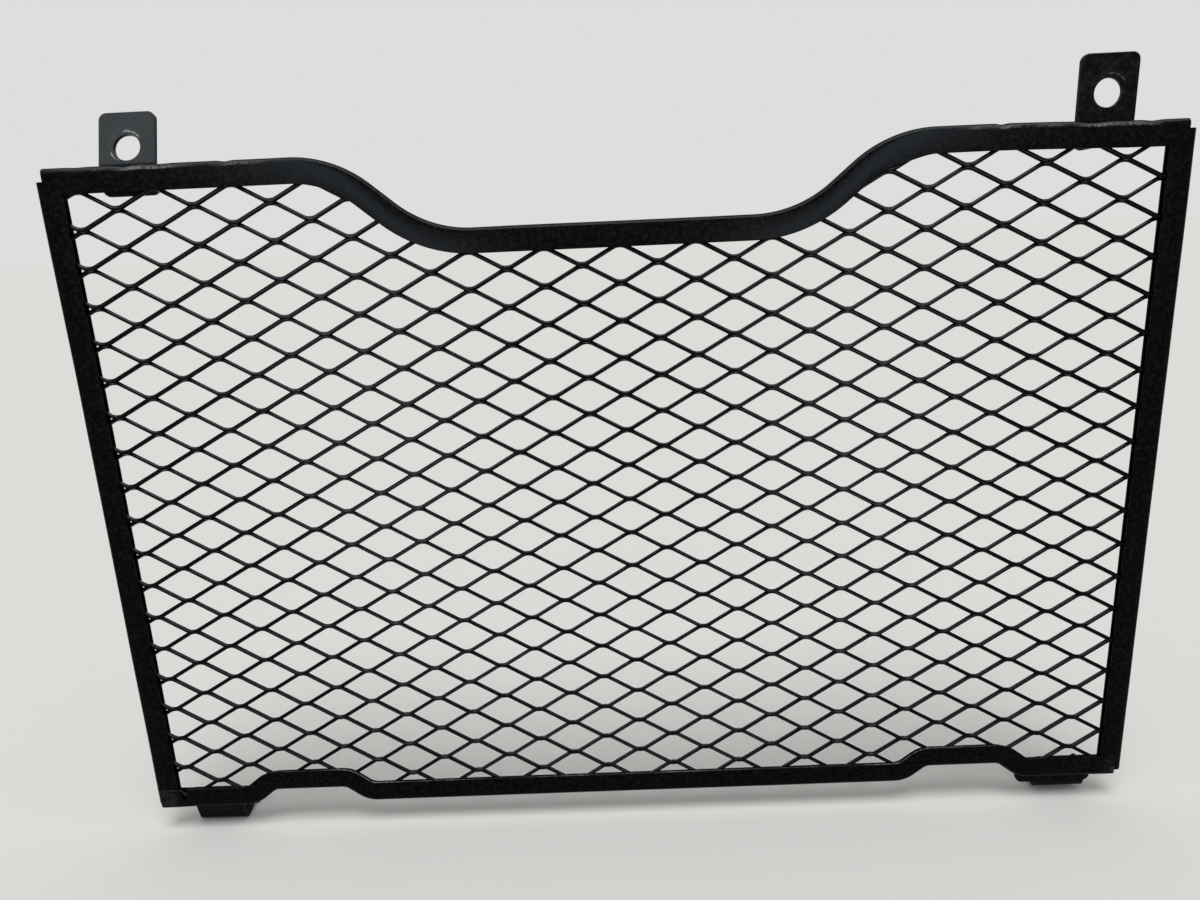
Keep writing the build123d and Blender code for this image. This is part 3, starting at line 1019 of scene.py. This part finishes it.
def plate_from(node, finish):
    """A copy of a bent plate's solid, with its cut edges rounded."""
    shape = bmesh.new()
    shape.from_mesh(frame["nodes"][node].data)
    bmesh.ops.remove_doubles(shape, verts=shape.verts, dist=PLATE_WELD)
    bmesh.ops.dissolve_limit(shape, angle_limit=PLATE_FLAT, verts=shape.verts, edges=shape.edges)
    mesh = bpy.data.meshes.new(node + "_plate")
    shape.to_mesh(mesh)
    shape.free()
    shade(mesh, SHARP_FOLD)
    plate = add_object(node + "_plate", mesh)
    rounding = plate.modifiers.new("edge", "BEVEL")
    rounding.width = finish.edge
    rounding.segments = 2
    rounding.limit_method = "ANGLE"
    rounding.angle_limit = PLATE_CORNER
    flat = plate.modifiers.new("flat_faces", "WEIGHTED_NORMAL")
    flat.weight = 100
    flat.keep_sharp = True
    return settle(plate)


class GUARD_OT_tabs(bpy.types.Operator):
    """Make the two drilled tabs above the top rail"""

    bl_idname = "guard.tabs"
    bl_label = "Drilled tabs"

    def execute(self, context):
        finish = context.scene.guard_finish
        for node, mark in BOLT_MARKS.items():
            paint = painted_steel(node + "_paint", finish, TAB_COAT, mark=mark)
            finish_piece(plate_from(node, finish), node, paint)
        return {"FINISHED"}


class GUARD_OT_hooks(bpy.types.Operator):
    """Make the two bent hooks below the bottom rail"""

    bl_idname = "guard.hooks"
    bl_label = "Bent hooks"

    def execute(self, context):
        finish = context.scene.guard_finish
        paint = painted_steel("hook_paint", finish, HOOK_COAT)
        for node in ("lower_left_hook", "lower_right_hook"):
            finish_piece(plate_from(node, finish), node, paint)
        return {"FINISHED"}


# Stage


def pale_floor(stage):
    """A wide matt floor at the height of the guard's lowest point."""
    material = bpy.data.materials.new("pale_floor")
    material.use_nodes = True
    shader = material.node_tree.nodes["Principled BSDF"].inputs
    shader["Base Color"].default_value = opaque(stage.floor)
    shader["Roughness"].default_value = 1.0
    shader["Specular IOR Level"].default_value = 0.0
    floor = solid_from(
        "floor",
        lambda shape: bmesh.ops.create_grid(shape, x_segments=1, y_segments=1, size=stage.floor_reach),
    )
    floor.data.transform(Matrix.Translation((0, 0, FLOOR)))
    floor.data.materials.append(material)


def backdrop(stage):
    """A world that is pale to the eye and gives a little light from all round."""
    world = bpy.data.worlds.new("backdrop")
    bpy.context.scene.world = world
    world.use_nodes = True
    make = Tree(world.node_tree)
    light = make.node("ShaderNodeBackground", opaque(stage.sky), stage.fill)
    seen = make.node("ShaderNodeBackground", opaque(stage.sky), 1.0)
    ray = make.node("ShaderNodeLightPath").outputs
    direct = make.math("MAXIMUM", ray["Is Camera Ray"], ray["Is Transmission Ray"])
    shown = make.math("MAXIMUM", direct, ray["Is Glossy Ray"])
    mixed = make.node("ShaderNodeMixShader", shown, light.outputs[0], seen.outputs[0])
    make.put(world.node_tree.nodes["World Output"].inputs["Surface"], mixed.outputs[0])


def soft_light(name, strength, size, rise):
    """A large distant light in front of the guard, at this height over the horizon."""
    lamp = bpy.data.lights.new(name, "SUN")
    lamp.energy = strength
    lamp.angle = size
    add_object(name, lamp).rotation_euler = (math.pi / 2 - rise, 0, 0)


def lit_panel(name, size):
    """A panel that shows only as gloss on the paint."""
    lamp = bpy.data.lights.new(name, "AREA")
    lamp.shape = "RECTANGLE"
    lamp.size = size.width * MM
    lamp.size_y = size.length * MM
    lamp.energy = size.glow * math.pi * lamp.size * lamp.size_y
    panel = add_object(name, lamp)
    right, ahead, up = size.place
    panel.location = (CENTRE + right * MM, FRONT - ahead * MM, BOTTOM + up * MM)
    panel.rotation_euler = (math.radians(size.turns[0]), math.radians(size.turns[1]), 0)
    panel.visible_camera = False
    panel.visible_diffuse = False


def aim_camera(stage):
    """The camera where the photograph was taken from, looking down at the guard."""
    lens = bpy.data.cameras.new("camera")
    lens.lens = stage.lens
    lens.sensor_width = SENSOR_WIDTH
    lens.clip_start = NEAREST_SEEN
    camera = add_object("camera", lens)
    place = Vector((CENTRE, BACK, BOTTOM)) + CAMERA_PLACE * MM
    ahead = CAMERA_AHEAD.normalized()
    right = ahead.cross(CAMERA_UP).normalized()
    turn = Matrix((right, right.cross(ahead), -ahead)).transposed()
    camera.matrix_world = Matrix.Translation(place) @ turn.to_4x4()
    bpy.context.scene.camera = camera


class GUARD_OT_stage(bpy.types.Operator):
    """Set up the pale floor, the soft light and the camera"""

    bl_idname = "guard.stage"
    bl_label = "Stage"

    def execute(self, context):
        stage = context.scene.guard_stage
        pale_floor(stage)
        backdrop(stage)
        soft_light("key_light", stage.key, stage.key_size, stage.key_rise)
        for name, size in LIT_PANELS.items():
            lit_panel(name, size)
        aim_camera(stage)
        context.scene.view_settings.view_transform = "Standard"
        return {"FINISHED"}


# Sidebar and registering


class GUARD_PT_panel(bpy.types.Panel):
    """Sizes and finishes of the guard, and its pieces in the order that they are made"""

    bl_label = "Radiator guard"
    bl_idname = "GUARD_PT_panel"
    bl_space_type = "VIEW_3D"
    bl_region_type = "UI"
    bl_category = "Guard"

    def draw(self, context):
        for group in SETTINGS:
            box = self.layout.box()
            values = getattr(context.scene, group)
            for name in values.bl_rna.properties.keys():
                if name not in ("rna_type", "name"):
                    box.prop(values, name)
        for operator in OPERATORS:
            self.layout.operator(operator.bl_idname)


SETTINGS = {
    "guard_mesh": GuardMeshSizes,
    "guard_rails": GuardRailSizes,
    "guard_finish": GuardFinish,
    "guard_stage": GuardStage,
}
OPERATORS = (GUARD_OT_mesh, GUARD_OT_rails, GUARD_OT_tabs, GUARD_OT_hooks, GUARD_OT_stage)


def register():
    """Registers the settings, the operators and the panel."""
    for kind in (*SETTINGS.values(), *OPERATORS, GUARD_PT_panel):
        bpy.utils.register_class(kind)
    for name, kind in SETTINGS.items():
        setattr(bpy.types.Scene, name, bpy.props.PointerProperty(type=kind))


def unregister():
    """Takes away what register added."""
    for name in SETTINGS:
        delattr(bpy.types.Scene, name)
    for kind in reversed((*SETTINGS.values(), *OPERATORS, GUARD_PT_panel)):
        bpy.utils.unregister_class(kind)


def main():
    """Builds every piece in order."""
    register()
    bpy.ops.guard.mesh()
    bpy.ops.guard.rails()
    bpy.ops.guard.tabs()
    bpy.ops.guard.hooks()
    bpy.ops.guard.stage()


if __name__ == "__main__":
    main()
